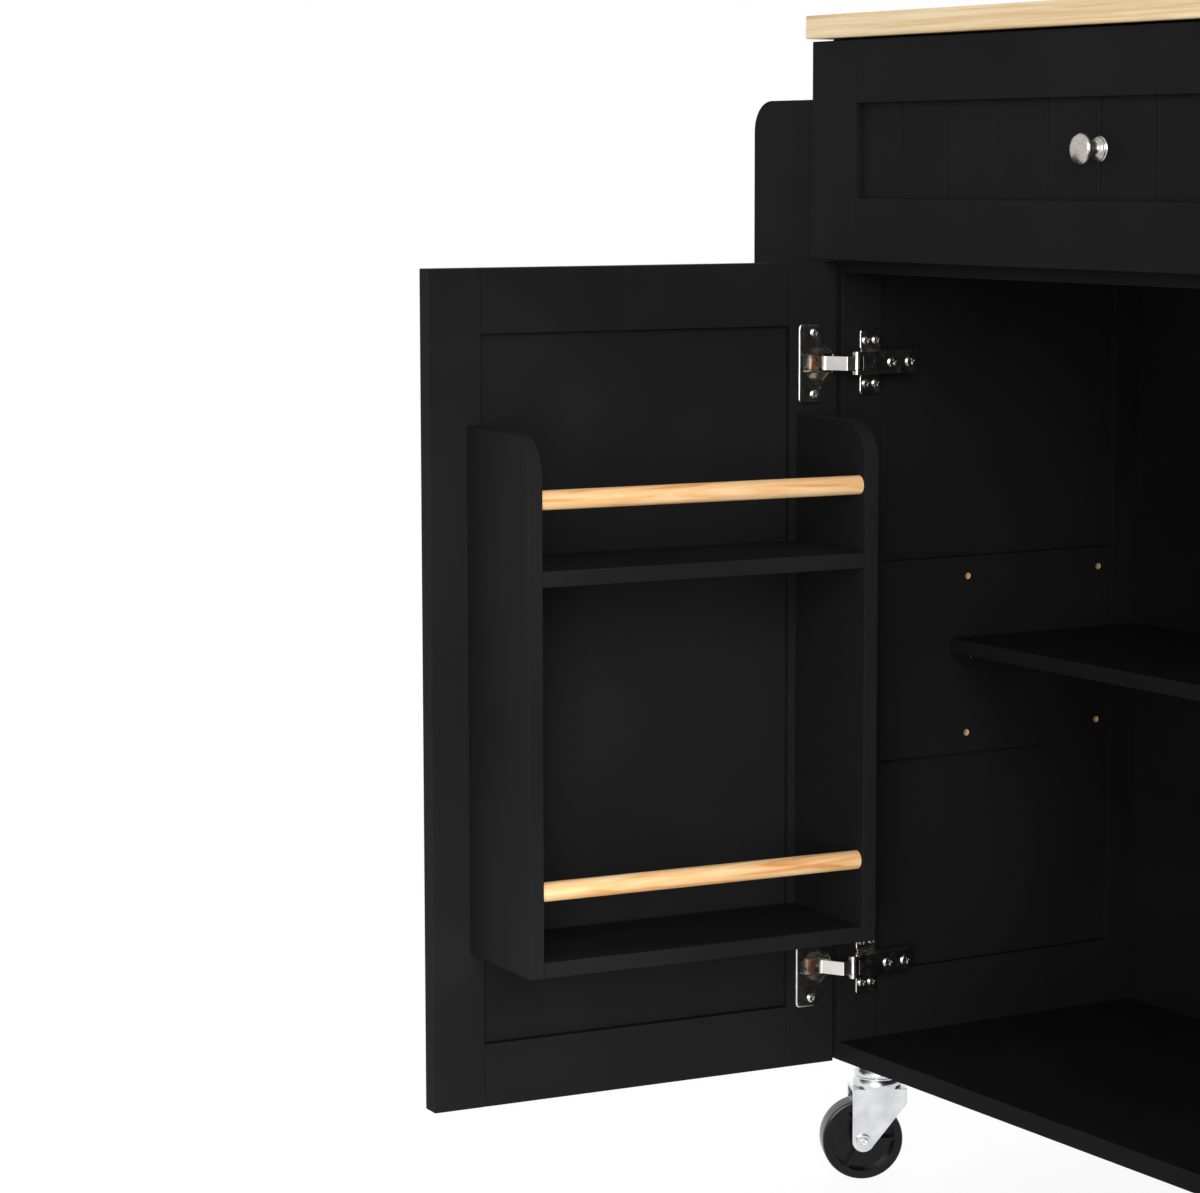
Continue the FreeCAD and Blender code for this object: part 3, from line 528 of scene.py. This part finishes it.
knob_outline = [(0, 0), (9.1, 0), (9.3, 0.5), (9.1, 1.2), (8.5, 1.5), (8.3, 1.9), (8.3, 2.4),
                (7.8, 2.9), (7.1, 3.1), (6.9, 3.5), (6.5, 4.1), (5.5, 4.8), (4.8, 5.9), (4.4, 7.6),
                (4.3, 9.4), (4.7, 11.0), (6.0, 12.3), (8.2, 13.1), (10.0, 13.9), (10.9, 14.9),
                (11.25, 16.3), (11.1, 17.7), (10.3, 19.1), (9.0, 20.0), (7.2, 20.85), (4.9, 21.6),
                (2.4, 21.95), (0, 22)]
knob_crease = math.radians(50)


def knob_at(node, centre, outward, body):
    """A knob whose rosette's back is at the centre, standing out along the given direction."""
    piece = spun(node + "_turned", knob_outline, steps=48)
    turn = Vector((0, 0, 1)).rotation_difference(outward).to_matrix().to_4x4()
    piece.data.transform(Matrix.Translation(centre) @ turn)
    only(piece)
    bpy.ops.object.shade_smooth_by_angle(angle=knob_crease)
    return settled(piece, brushed_nickel, body, "brushed_nickel", node)


print("knobs stand", knob_outline[-1][1], "mm out")

# %% [markdown]
# A door's knob stands out from its outer face, so the angles at which the doors stand open come
# first. The axis of a knob is the middle of its solid's outermost points.

# %% The knobs in their places
door_angle = {"left": -93.5, "right": 118}
door_turn = {side: Matrix.Rotation(math.radians(angle), 3, "Z") for side, angle in door_angle.items()}
into_door = {side: turn @ Vector((0, 1, 0)) for side, turn in door_turn.items()}
crown_depth = 3
for node, body, outward in (("drawer_knob", "drawer", Vector((0, -1, 0))),
                            ("left_door_knob", "left_door", -into_door["left"]),
                            ("right_door_knob", "right_door", -into_door["right"])):
    points = [vertex.co for vertex in frame["nodes"][node].data.vertices]
    reach = [outward.dot(point) for point in points]
    crown = [point for point, out in zip(points, reach) if out > max(reach) - crown_depth * MM]
    axis = sum(crown, Vector()) / len(crown)
    foot = axis + outward * (min(reach) - outward.dot(axis))
    knob_at(node, foot, outward, body)
print("knobs on the drawer and on doors turned by", door_angle)

# %% [markdown]
# The hinge screws have pan heads with a cross recess: one head is spun and two bars are cut from
# it. A dark cross could be painted on, but only a cut one catches the light. Where the heads go is
# read from the frame, where one node holds the plain screws of two hinges.

# %% The head of a screw


def parts_of(node):
    """The middle of each separate solid in a node, from its merged points."""
    mesh = frame["nodes"][node].data
    key = [tuple(round(value, 6) for value in vertex.co) for vertex in mesh.vertices]
    leader = {place: place for place in key}

    def first(place):
        while leader[place] != place:
            place = leader[place]
        return place

    for edge in mesh.edges:
        start, end = (first(key[index]) for index in edge.vertices)
        leader[start] = end
    clusters = {}
    for place in leader:
        clusters.setdefault(first(place), []).append(place)
    middles = []
    for places in clusters.values():
        lows = [min(values) for values in zip(*places)]
        highs = [max(values) for values in zip(*places)]
        middles.append(Vector([(low + high) / 2 for low, high in zip(lows, highs)]))
    return middles


def lessened(piece, size, turn):
    """Cut a bar from the top of a piece: its length, width, height and middle in mm, and its turn."""
    length, width, height, middle = size
    bar = plate((-length / 2, -width / 2, middle - height / 2), (length / 2, width / 2, middle + height / 2),
                0.1, place=Matrix.Rotation(math.radians(turn), 4, "Z"))
    combined(piece, bar, "DIFFERENCE")


screw_rise, recess = 1.6, (4.4, 1.15, 1.6, 1.5)
screw_head = spun("screw_head", [(0, 0), (3.4, 0), (3.4, 0.7), (3.2, 1.15), (2.7, 1.45), (1.9, screw_rise),
                                 (0, screw_rise)], steps=28)
for turn in (20, 110):
    lessened(screw_head, recess, turn)
print("one screw head,", screw_rise, "mm high")

# %% [markdown]
# Each screw gets a copy of the head. Those of a cup stand out from the door's inner face, two to a
# cup. Those of a mounting plate look inward: four on the wings and two, with wider heads, on the
# arm. A pressed cup's plate and a pressed wing are thicker than the plain solids, so their screws
# stand further out.

# %% The screws in their places
flange_extra, wing_extra, arm_share = 1.6, 0.9, 1.25


def copied(source, name, places, outward):
    """One piece made of copies of a source, each standing out from its place along a direction."""
    turn = Vector((0, 0, 1)).rotation_difference(outward).to_matrix().to_4x4()
    copies = []
    for place in places:
        copy = bpy.data.objects.new(name, source.data.copy())
        copy.data.transform(Matrix.Translation(place) @ turn)
        bpy.context.scene.collection.objects.link(copy)
        copies.append(copy)
    only(copies[0])
    for copy in copies:
        copy.select_set(True)
    if len(copies) > 1:
        bpy.ops.object.join()
    bpy.ops.object.shade_smooth_by_angle(angle=crease)
    return copies[0]


arm_head = screw_head.copy()
arm_head.data = screw_head.data.copy()
arm_head.data.transform(Matrix.Diagonal((arm_share, arm_share, 1.0, 1.0)))
for side, inward in (("left", Vector((1, 0, 0))), ("right", Vector((-1, 0, 0)))):
    node = side + "_cup_screws"
    outward = into_door[side]
    seats = [place + outward * (flange_extra - screw_rise / 2) * MM for place in parts_of(node)]
    heads = copied(screw_head, node + "_crossed", seats, outward)
    settled(heads, bright_nickel, side + "_door", "nickel_plate", node)
    node = side + "_hinge_screws"
    seats = [place - inward * screw_rise / 2 * MM for place in parts_of(node)]
    inmost = min(place.dot(inward) for place in seats) + MM
    wing_seats = [place + inward * wing_extra * MM for place in seats if place.dot(inward) < inmost]
    arm_seats = [place for place in seats if place.dot(inward) >= inmost]
    heads = joined(node + "_crossed", [copied(screw_head, node, wing_seats, inward),
                                       copied(arm_head, node, arm_seats, inward)])
    settled(heads, bright_nickel, "cabinet", "nickel_plate", node)
    print(side, len(wing_seats), "heads on wings,", len(arm_seats), "on arms")
for source in (screw_head, arm_head):
    bpy.data.objects.remove(source, do_unlink=True)

# %% [markdown]
# The shelf can sit at three heights, so each end has a spare pair of holes above and below its
# pins. A thin lining in each hole shows the bare board that the drill leaves. Single faces of the
# solid could be given the finish instead, but a lining is easier to place and to leave out.

# %% The pin holes
low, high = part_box("shelf_pins")
pin_radius, hole_pitch, hole_depth = 2.5, 64, 8
lining = spun("hole_lining", [(0, -7.8), (2.55, -7.8), (2.55, -0.35), (2.58, 0.0), (2.2, -0.3), (2.1, -7.2),
                              (0, -7.2)], steps=20)
seats = {1: [], -1: []}
for row in (-1, 1):
    for y in (low[1] + pin_radius * MM, high[1] - pin_radius * MM):
        z = (low[2] + high[2]) / 2 + row * hole_pitch * MM
        seats[1].append(Vector((low[0] + hole_depth * MM, y, z)))
        seats[-1].append(Vector((high[0] - hole_depth * MM, y, z)))
for way, places in seats.items():
    name = "pin_hole_linings_" + ("left" if way > 0 else "right")
    linings = copied(lining, name, places, Vector((way, 0, 0)))
    settled(linings, bare_board, "cabinet", "black_painted_wood")
bpy.data.objects.remove(lining, do_unlink=True)
print("linings in", sum(len(places) for places in seats.values()), "holes")

# %% [markdown]
# The drawer front is four boards round a beaded panel. They meet edge to edge, so each is made as a
# board of its own, with its own eased edges, and the fine lines of the joints show as on the real
# front. The stiles run the full height and the rails sit between them.

# %% The drawer front's frame
stile, rail = 60, 48
low, high = (Vector(corner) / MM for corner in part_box("drawer_front_frame"))
boards = [plate(low, (low.x + stile, high.y, high.z), board_round),
          plate((high.x - stile, low.y, low.z), high, board_round),
          plate((low.x + stile, low.y, low.z), (high.x - stile, high.y, low.z + rail), board_round),
          plate((low.x + stile, low.y, high.z - rail), (high.x - stile, high.y, high.z), board_round)]
settled(joined("drawer_front_boards", boards), black_paint, "drawer", "black_painted_wood",
        "drawer_front_frame")
print("drawer front of", len(boards), "boards")

# %% [markdown]
# A swivel caster turns on two pressed races with balls between them. The lower race is a rounded
# ring on the fork and the upper one a dome under the plate. Each is spun once and copied to the
# four casters; they sit as thin shells round the plain solids. No ball shows, so none is made.

# %% The races of the casters
swivels = [joint for joint in joints if joint["name"].endswith("_swivel")]
race_shapes = {
    "lower_race": [(17.5, 74.7), (18.9, 74.8), (19.4, 76.2), (19.5, 78.4), (19.0, 80.4), (18.3, 81.8),
                   (17.8, 83.2), (17.0, 83.6), (16.6, 83.5), (16.6, 75.0), (17.5, 74.7)],
    "upper_race": [(16.0, 84.1), (18.3, 84.2), (18.7, 85.2), (18.5, 86.8), (17.8, 88.6), (16.9, 90.6),
                   (16.3, 92.4), (16.2, 93.4), (14.0, 93.4), (14.0, 84.3), (16.0, 84.1)]}
for shape, outline in race_shapes.items():
    ring = spun(shape, outline, steps=40)
    for joint in swivels:
        x, y, _ = joint["pos_m"]
        body = joint["child"] if shape == "lower_race" else "cabinet"
        piece = copied(ring, shape + "_" + joint["child"], [Vector((x, y, 0))], Vector((0, 0, 1)))
        settled(piece, bright_zinc, body, "zinc_steel")
    bpy.data.objects.remove(ring, do_unlink=True)
print("races on", len(swivels), "casters")

# %% [markdown]
# A concealed hinge sits in a hole in the door's stile. Its cup is pressed with a tall screw plate on
# the side of the door's middle and a round rim on the side of its edge. The opening has eight short
# walls, a thin bowl whose nickel is painted darker than the plate as painted shade of the deep cup,
# with a copper strip on the floor, and a notch lets the link in. The stiles are new boards, so that
# the hole fits this cup. Each is built flat in the door's own measures: along the door from the cup's
# screws, up, and out from its inner face.

# %% Measures and tools of the hinge cups
# From a door's hinge axis to its cups' screws and to its inner face
cup_line, inner_face = 15.8, 8.2
# The cup stands nearer the door's edge than its screws
cup_aside, hole_radius, hole_floor, cup_floor, bowl_radius = -3, 15.5, -12.2, -10.8, 14.2
rim_radius, rim_rise, cheek_aside, clear_above = 16.5, 1.2, 6.8, 4
# Corners along, up and out from the middle of a cup's screws
screw_plate = (-6.5, -31, 0), (14, 31, 2.8)
notch = (-17.6, -7.5, -9), (-6, 7.5, clear_above)
cheek = (-12, -0.5, -10.9), (2, 0.5, -3)
saddle = (-12, -5.2, cup_floor - 0.1), (-4.5, 5.2, -10.2)
pivots = {joint["name"]: Vector(joint["pos_m"]) for joint in joints}
copper = plated("copper_plate_on_steel", "#b98a68", "#d3a988", 0.25, 0.35, (3, 3, 3), 0.01)
# Painted shade: the bowl's nickel is darker than the plate's, to darken the walls of the deep cup.
shade_painted_nickel = plated("nickel_darkened_as_painted_shade", "#54483e", "#75675a", 0.3, 0.4, (5, 5, 5), 0.01)


def drum(radius, low, high, centre, place, flats=64):
    """A straight cylinder on the door's inner face, standing out from low to high, in millimetres."""
    bpy.ops.object.select_all(action="DESELECT")
    bpy.ops.mesh.primitive_cylinder_add(vertices=flats, radius=radius * MM, depth=(high - low) * MM,
                                        location=(centre[0] * MM, centre[1] * MM, (low + high) / 2 * MM),
                                        rotation=(0, 0, math.pi / flats))
    bpy.ops.object.transform_apply(location=True, rotation=True, scale=True)
    piece = bpy.context.object
    piece.data.transform(place)
    worked(piece, (bpy.ops.mesh.normals_make_consistent, {"inside": False}))
    return piece


def on_door(height, corners, edge, place, corner=0, axis=0):
    """A plate on a door's inner face, between two corners given from a cup at that height."""
    low, high = ((along, height + up, out) for along, up, out in corners)
    return plate(low, high, edge, corner, axis, place)


print("each cup sits in a hole of", 2 * hole_radius, "mm")

# %% [markdown]
# All is placed from the foot: the point on the floor under the cups' screws, in the plane of the
# door's inner face. The stile on the hinge side gets its holes drilled. A cup is its screw plate, its rim
# and a drum in one, hollowed by an eight sided drum and notched. The thin bowl stands inside it.

# %% The doors' stiles and hinge cups
for side, way in (("left", 1), ("right", -1)):
    along = door_turn[side] @ Vector((way, 0, 0))
    up, out = Vector((0, 0, 1)), into_door[side]
    foot = pivots[side + "_door_hinge"] + (along * cup_line + out * inner_face) * MM
    foot.z = 0
    place = Matrix.Translation(foot) @ Matrix((along, up, out)).transposed().to_4x4()
    stiles = side + "_door_stiles"
    (start, end), (bottom, top), (front, back) = (span(stiles, foot, line) for line in (along, up, out))
    near, far = span(side + "_door_rails", foot, along)
    heights = sorted(middle.z / MM for middle in parts_of(side + "_hinge_cups"))
    hinge_stile = plate((start, bottom, front), (near, top, back), board_round, place=place)
    for height in heights:
        hole = drum(hole_radius, hole_floor, 3, (cup_aside, height), place)
        combined(hinge_stile, hole, "DIFFERENCE")
    free_stile = plate((far, bottom, front), (end, top, back), board_round, place=place)
    flattened(hinge_stile, True)
    settled(joined(side + "_door_uprights", [hinge_stile, free_stile]), black_paint, side + "_door",
            "black_painted_wood", stiles)
    cups, saddles, bowls = [], [], []
    for height in heights:
        centre = (cup_aside, height)
        cup = on_door(height, screw_plate, 1.3, place, corner=3.5, axis=2)
        combined(cup, drum(rim_radius, 0, rim_rise, centre, place), "UNION")
        combined(cup, drum(hole_radius - 0.2, -12, 0.5, centre, place), "UNION")
        opening = drum(bowl_radius, cup_floor, clear_above, centre, place, flats=8)
        combined(cup, opening, "DIFFERENCE")
        bowl = drum(bowl_radius - 0.1, cup_floor, 0.2, centre, place, flats=8)
        hollow = drum(bowl_radius - 0.7, cup_floor - 1, clear_above, centre, place, flats=8)
        combined(bowl, hollow, "DIFFERENCE")
        for pressing in (cup, bowl):
            combined(pressing, on_door(height, notch, 0.1, place), "DIFFERENCE")
        cups += [cup] + [on_door(height + aside, cheek, 0.2, place) for aside in (-cheek_aside, cheek_aside)]
        flattened(cup, True)
        flattened(bowl, True)
        bowls.append(bowl)
        saddles.append(on_door(height, saddle, 0.2, place))
    settled(joined(side + "_cups_pressed", cups), bright_nickel, side + "_door", "nickel_plate",
            side + "_hinge_cups")
    settled(joined(side + "_cup_saddles", saddles), copper, side + "_door", "nickel_plate")
    # The bowls take the nickel that is painted darker, as painted shade inside the cups.
    settled(joined(side + "_cup_bowls", bowls), shade_painted_nickel, side + "_door", "nickel_plate")
    print(side, "door: stiles", round(near - start, 1), "mm wide, cups at", [round(z) for z in heights])

# %% [markdown]
# The mounting plate of each hinge is a cross of pressed steel: a thick middle under the arm, and two
# wings whose outer corners are round and whose edges turn down to the wood. Three plates that
# overlap make the cross: nothing has to be cut, and their eased edges stay clean.

# %% The mounting plates
wing_rise, base_rise, arm_half, wing_half, lap = 3.4, 5, 9.3, 26, 0.5
wing_corner, pressed_edge = 3, 1.0
for side, inward in (("left", 1), ("right", -1)):
    low, high = (Vector(corner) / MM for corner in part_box(side + "_hinge_plates"))
    wall = low.x if inward > 0 else high.x
    pressed = []
    for middle in parts_of(side + "_hinge_plates"):
        z = middle.z / MM
        for bottom, top, rise, corner in ((z + arm_half, z + wing_half, wing_rise, wing_corner),
                                          (z - wing_half, z - arm_half, wing_rise, wing_corner),
                                          (z - arm_half - lap, z + arm_half + lap, base_rise, 0)):
            start, end = sorted((wall, wall + inward * rise))
            pressed.append(plate((start, low.y, bottom), (end, high.y, top), pressed_edge, corner))
    settled(joined(side + "_plates_pressed", pressed), bright_nickel, "cabinet", "nickel_plate",
            side + "_hinge_plates")
    print(side, len(pressed), "pressings")

# %% [markdown]
# The axle of each wheel is a rivet: on each side of the fork it ends in a flat washer and a head
# that is rolled over, with a dimple in its middle. Both are round, so one outline is spun, and its
# copies stand on either side of all four forks.

# %% The axle heads
# The head's washer lies on the fork, this far in from the end of the plain axle
head_rise = 1.5
axle_head = spun("axle_head", [(0, 0), (5.6, 0), (5.6, 0.5), (5.3, 0.8), (3.7, 0.85), (3.6, 1.2), (3.2, 1.7),
                               (2.5, 1.9), (1.7, 1.7), (1.3, 1.1), (0, 1.0)], steps=32)
for joint in joints:
    if joint["name"].endswith("_axle"):
        fork = joint["parent"]
        node = [name for name, body in body_of.items() if body == fork][0]
        axis, centre = Vector(joint["axis"]).normalized(), Vector(joint["pos_m"])
        half = (span(node, centre, axis)[1] - head_rise) * MM
        heads = [copied(axle_head, fork, [centre + axis * way * half], axis * way) for way in (-1, 1)]
        settled(joined(fork + "_axle_heads", heads), bright_zinc, fork, "zinc_steel")
bpy.data.objects.remove(axle_head, do_unlink=True)
print("axle heads on", len(swivels), "forks")

# %% [markdown]
# The photograph has a plain white background. So the world is white for the camera and for
# reflections, and dimmer for the light that falls on the object, so that shadows stay. One world for
# both would either grey the background or wash out the boards.

# %% The white room


def in_sight(tree):
    """1 on a camera, glossy or transmission ray, otherwise 0."""
    path = add(tree, "ShaderNodeLightPath").outputs
    seen = path["Is Camera Ray"]
    for ray in ("Is Glossy Ray", "Is Transmission Ray"):
        seen = add(tree, "ShaderNodeMath", {0: seen, 1: path[ray]}, operation="MAXIMUM")
    return seen


room_light = 0.6
world = bpy.data.worlds.new("white_room")
bpy.context.scene.world = world
world.use_nodes = True
tree = world.node_tree
tree.nodes.clear()
strength = add(tree, "ShaderNodeMapRange", {"Value": in_sight(tree), "To Min": room_light, "To Max": 1.0})
air = add(tree, "ShaderNodeBackground", {"Color": (1, 1, 1, 1), "Strength": strength})
add(tree, "ShaderNodeOutputWorld", {"Surface": air})
print("the room gives", room_light, "of its white as light")

# %% [markdown]
# The floor is a pale sheet that runs out to white. To the camera it is mostly a glow of its own,
# and the rest takes the shadow of the casters and the base.

# %% The floor
floor_sheet, tree, shader, place = finish_named("pale_floor")
shader.inputs["Base Color"].default_value = colour("#f2f2f2")
shader.inputs["Roughness"].default_value = 0.7
glare, glare_share = 1.07, 0.85
white = add(tree, "ShaderNodeEmission", {"Color": (1, 1, 1, 1), "Strength": glare})
share = add(tree, "ShaderNodeMath", {0: in_sight(tree), 1: glare_share}, operation="MULTIPLY")
both = add(tree, "ShaderNodeMixShader", {0: share, 1: shader, 2: white})
fed([node for node in tree.nodes if node.type == "OUTPUT_MATERIAL"][0], "Surface", both)
bpy.ops.object.select_all(action="DESELECT")
bpy.ops.mesh.primitive_plane_add(size=14, location=(0, 0, 0))
floor = bpy.context.object
floor.name = "floor"
floor.data.materials.append(floor_sheet)
floor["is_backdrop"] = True
print("floor at", floor.location.z)

# %% [markdown]
# Two soft boxes model the edges: a strong one from the right and a weak one from behind. Area lamps
# are used, because their broad light leaves soft edges on shadows. A soft spot from the right, low
# down, gives the inner face of the left door a part of the sheen it has in the photograph.

# %% The lamps


def lamp(kind, name, place, target, power):
    """A lamp of that kind that faces a target."""
    light = bpy.data.lights.new(name, kind)
    light.energy = power
    holder = bpy.data.objects.new(name, light)
    holder.location = place
    holder.rotation_euler = (Vector(target) - Vector(place)).to_track_quat("-Z", "Y").to_euler()
    bpy.context.scene.collection.objects.link(holder)
    return light


key = lamp("AREA", "key", (3.1, -1.5, 1.8), (0, 0, 0.5), 100)
fill = lamp("AREA", "fill", (-2.4, 2.6, 2.2), (0, 0, 0.5), 20)
key.size = fill.size = 2.0
glow = lamp("SPOT", "glow", (1.0, -1.2, 0.4), (-0.36, -0.33, 0.15), 75)
glow.spot_size, glow.spot_blend, glow.shadow_soft_size = math.radians(48), 1.0, 0.3
print("lit by", key.name, fill.name, "and", glow.name)

# %% [markdown]
# Dressing must not change the size of the part.

# %% Sizes
low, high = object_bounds()
